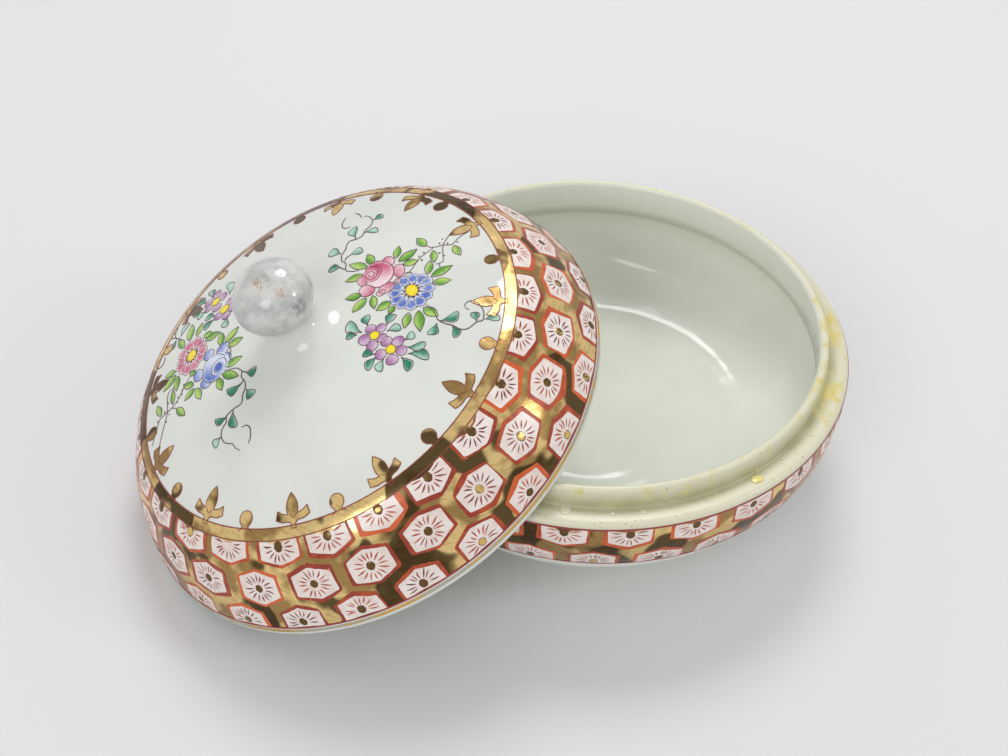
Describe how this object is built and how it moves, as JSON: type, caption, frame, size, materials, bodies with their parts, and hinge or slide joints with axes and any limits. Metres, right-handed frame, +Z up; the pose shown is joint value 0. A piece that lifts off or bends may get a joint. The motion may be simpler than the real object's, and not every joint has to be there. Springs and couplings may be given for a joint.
{
  "type": "seal paste box",
  "caption": "Low round porcelain bowl with an upright inner rim, and a domed lid with a ball knob leaning on it; the lid lifts off.",
  "frame": {"origin": "on the bowl's axis, in the plane that the foot ring stands on", "axes": "+Z up along the bowl's axis; the lid lies to -X and leans with its knob towards -X; +Y completes the frame"},
  "size_m": [0.1708, 0.1206, 0.0734],
  "materials": {
    "bowl": "greenish white glaze, painted and gilt outside",
    "lid": "white glaze, painted and gilt",
    "knob": "white glaze with worn gilding"
  },
  "bodies": {
    "bowl": {"bowl": "bowl"},
    "lid": {"lid": "lid", "knob": "knob"}
  },
  "joints": [
    {"name": "lid_lift", "type": "slide", "parent": "bowl", "child": "lid", "axis": [0, 0, 1], "range_m": [0, 0.08]}
  ]
}
